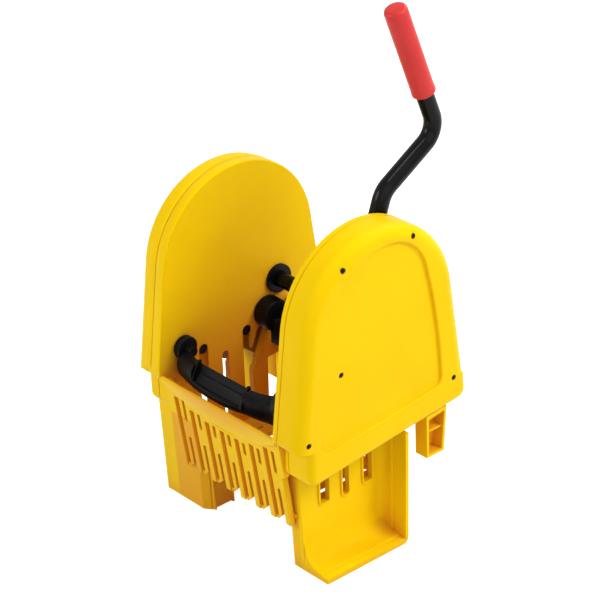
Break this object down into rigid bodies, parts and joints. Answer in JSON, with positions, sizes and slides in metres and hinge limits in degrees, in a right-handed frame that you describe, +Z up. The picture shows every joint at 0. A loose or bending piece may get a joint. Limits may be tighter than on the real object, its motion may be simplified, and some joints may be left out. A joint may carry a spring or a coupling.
{
  "type": "down-press mop wringer",
  "caption": "Down-press mop wringer with a slotted basket between arched side housings, black press bars and a cranked hand lever with a red grip.",
  "frame": {"origin": "centre of the bounding box's bottom, on the plane of the leg bottoms", "axes": "+X to the side with the hand lever, +Y from the front grille to the back, +Z up"},
  "size_m": [0.306, 0.2871, 0.6706],
  "materials": {
    "yellow_plastic": "semi-gloss moulded plastic",
    "black_plastic": "satin moulded plastic",
    "black_steel": "satin powder coat",
    "red_grip": "satin vinyl",
    "zinc_steel": "zinc plated",
    "drive_nylon": "matte nylon"
  },
  "bodies": {
    "frame": {"left_wall": "yellow_plastic", "right_wall": "yellow_plastic", "left_cover": "yellow_plastic", "right_cover": "yellow_plastic", "front_grille": "yellow_plastic", "rear_grille": "yellow_plastic", "floor_grate": "yellow_plastic", "left_cover_screws": "zinc_steel", "right_cover_screws": "zinc_steel", "basket_screws": "zinc_steel", "left_bush": "drive_nylon", "right_bush": "drive_nylon", "left_idler_pin": "zinc_steel", "right_idler_pin": "zinc_steel", "left_idler_clip": "zinc_steel", "right_idler_clip": "zinc_steel"},
    "lever": {"cross_shaft": "black_steel", "shaft_flange": "black_plastic", "shaft_clips": "zinc_steel", "left_sector": "drive_nylon", "right_sector": "drive_nylon", "handle_hub": "black_plastic", "handle_tube": "black_steel", "handle_bolt": "zinc_steel", "handle_grip": "red_grip"},
    "left_idler_gear": {"left_idler": "drive_nylon"},
    "right_idler_gear": {"right_idler": "drive_nylon"},
    "left_carriage": {"left_yoke": "drive_nylon", "left_yoke_pins": "zinc_steel"},
    "right_carriage": {"right_yoke": "drive_nylon", "right_yoke_pins": "zinc_steel"},
    "front_press": {"front_bar": "black_plastic", "front_levers": "black_steel"},
    "rear_press": {"rear_bar": "black_plastic", "rear_levers": "black_steel"}
  },
  "joints": [
    {"name": "handle_swing", "type": "hinge", "parent": "frame", "child": "lever", "pos_m": [0, 0.05076, 0.2617], "axis": [-1, 0, 0], "range_deg": [0, 78], "stiffness_Nm_per_rad": 1.2, "springref_deg": -45.84},
    {"name": "left_idler_turn", "type": "hinge", "parent": "frame", "child": "left_idler_gear", "pos_m": [-0.1315, -0.03724, 0.2617], "axis": [-1, 0, 0], "range_deg": [-351.5, 0.5]},
    {"name": "right_idler_turn", "type": "hinge", "parent": "frame", "child": "right_idler_gear", "pos_m": [0.1315, -0.03724, 0.2617], "axis": [-1, 0, 0], "range_deg": [-351.5, 0.5]},
    {"name": "left_carriage_drop", "type": "slide", "parent": "frame", "child": "left_carriage", "axis": [0, 0, -1], "range_m": [-0.0002, 0.0982]},
    {"name": "right_carriage_drop", "type": "slide", "parent": "frame", "child": "right_carriage", "axis": [0, 0, -1], "range_m": [-0.0002, 0.0982]},
    {"name": "front_press_turn", "type": "hinge", "parent": "left_carriage", "child": "front_press", "pos_m": [0, -0.07284, 0.207], "axis": [-1, 0, 0], "range_deg": [-0.1, 62.1]},
    {"name": "rear_press_turn", "type": "hinge", "parent": "left_carriage", "child": "rear_press", "pos_m": [0, -0.00284, 0.207], "axis": [1, 0, 0], "range_deg": [-0.1, 62.1]}
  ],
  "couplings": [
    {"joint": "left_idler_turn", "follows": "handle_swing", "ratio": -4.5},
    {"joint": "right_idler_turn", "follows": "handle_swing", "ratio": -4.5},
    {"joint": "left_carriage_drop", "follows": "handle_swing", "m_per_rad": 0.072},
    {"joint": "right_carriage_drop", "follows": "handle_swing", "m_per_rad": 0.072},
    {"joint": "front_press_turn", "follows": "handle_swing", "ratio": 0.79487},
    {"joint": "rear_press_turn", "follows": "handle_swing", "ratio": 0.79487}
  ]
}
